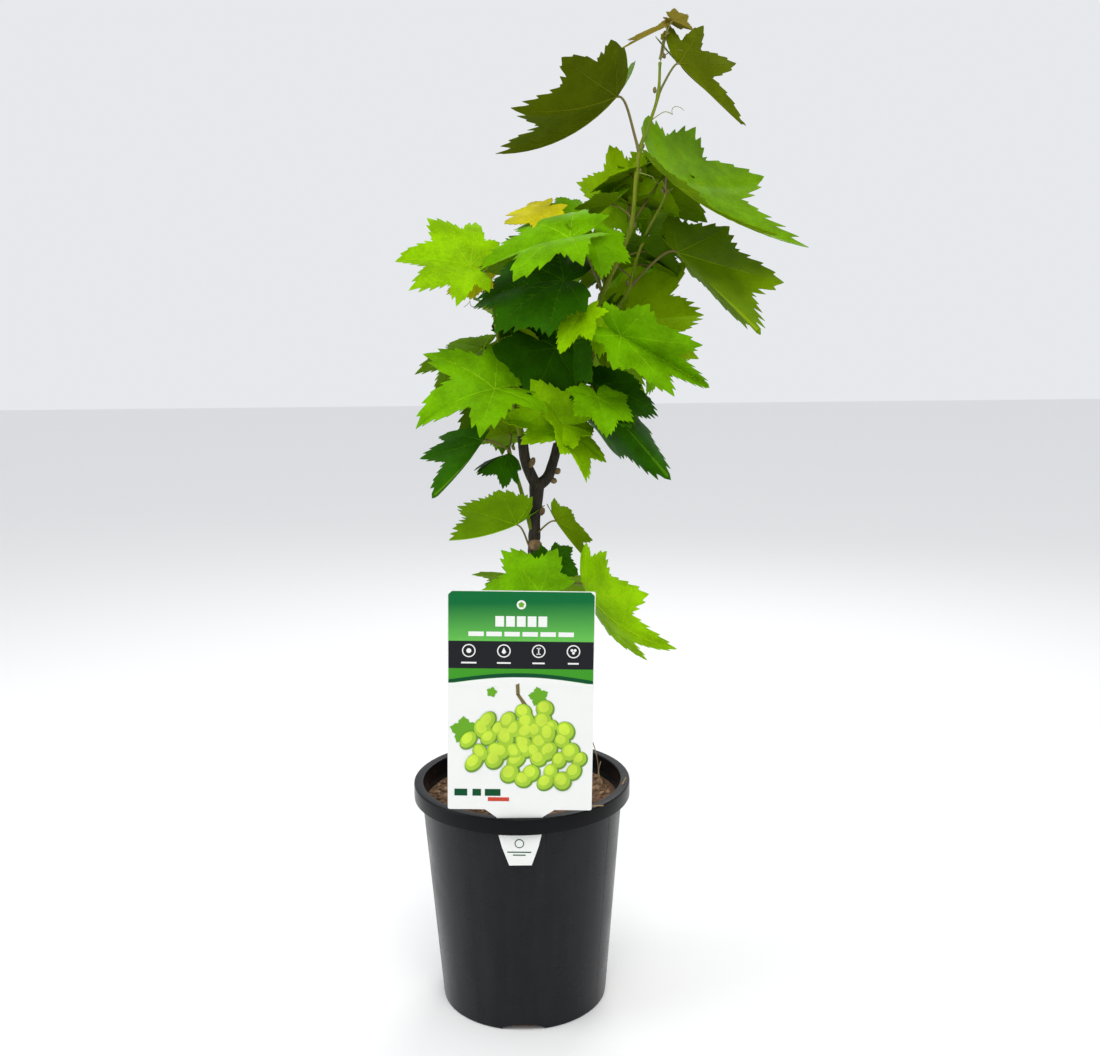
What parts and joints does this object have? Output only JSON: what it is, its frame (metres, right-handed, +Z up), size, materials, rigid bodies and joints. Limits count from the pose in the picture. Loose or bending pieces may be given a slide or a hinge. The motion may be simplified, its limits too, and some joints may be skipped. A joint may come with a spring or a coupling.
{
  "type": "potted grapevine",
  "caption": "Young grapevine with lobed leaves on leaning green canes above a short woody trunk, growing in a round black nursery pot with a picture tag.",
  "frame": {"origin": "centre of the pot's flat underside", "axes": "+Z up along the pot's axis; -Y towards the side with the picture tag; +X to the right seen from that side"},
  "size_m": [0.298, 0.1874, 0.7351],
  "materials": {
    "pot": "black moulded polypropylene, satin",
    "soil": "damp potting mix of bark crumbs and peat",
    "tag": "white printed plastic sheet, smooth",
    "bark": "dark fissured bark",
    "cane": "smooth green cane, ribbed",
    "foliage": "lobed toothed leaves, light and dark green, a few yellow"
  },
  "bodies": {
    "root": {"pot": "pot", "potting_mix": "soil", "picture_tag": "tag", "trunk": "bark", "left_spur": "bark", "right_arm": "bark", "main_cane_lower": "cane", "main_cane_upper": "cane", "right_cane": "cane", "left_cane": "cane", "low_shoot": "cane", "leaves_back_crown": "foliage", "leaves_back_foot": "foliage", "leaves_back_heart": "foliage", "leaves_back_left": "foliage", "leaves_back_top": "foliage", "leaves_behind_top": "foliage", "leaves_centre_right": "foliage", "leaves_crown_front": "foliage", "leaves_far_left": "foliage", "leaves_foot_front": "foliage", "leaves_foot_right": "foliage", "leaves_fork_front": "foliage", "leaves_front_right": "foliage", "leaves_heart": "foliage", "leaves_heart_front": "foliage", "leaves_high_right": "foliage", "leaves_left": "foliage", "leaves_left_shade": "foliage", "leaves_low_left": "foliage", "leaves_middle_right": "foliage", "leaves_right": "foliage", "leaves_right_upper": "foliage", "leaves_shoot_tip": "foliage", "leaves_small_left": "foliage", "leaves_top_left": "foliage", "leaves_top_right": "foliage", "leaves_trunk_left": "foliage", "leaves_trunk_right": "foliage", "leaves_yellow_top": "foliage"}
  },
  "joints": []
}
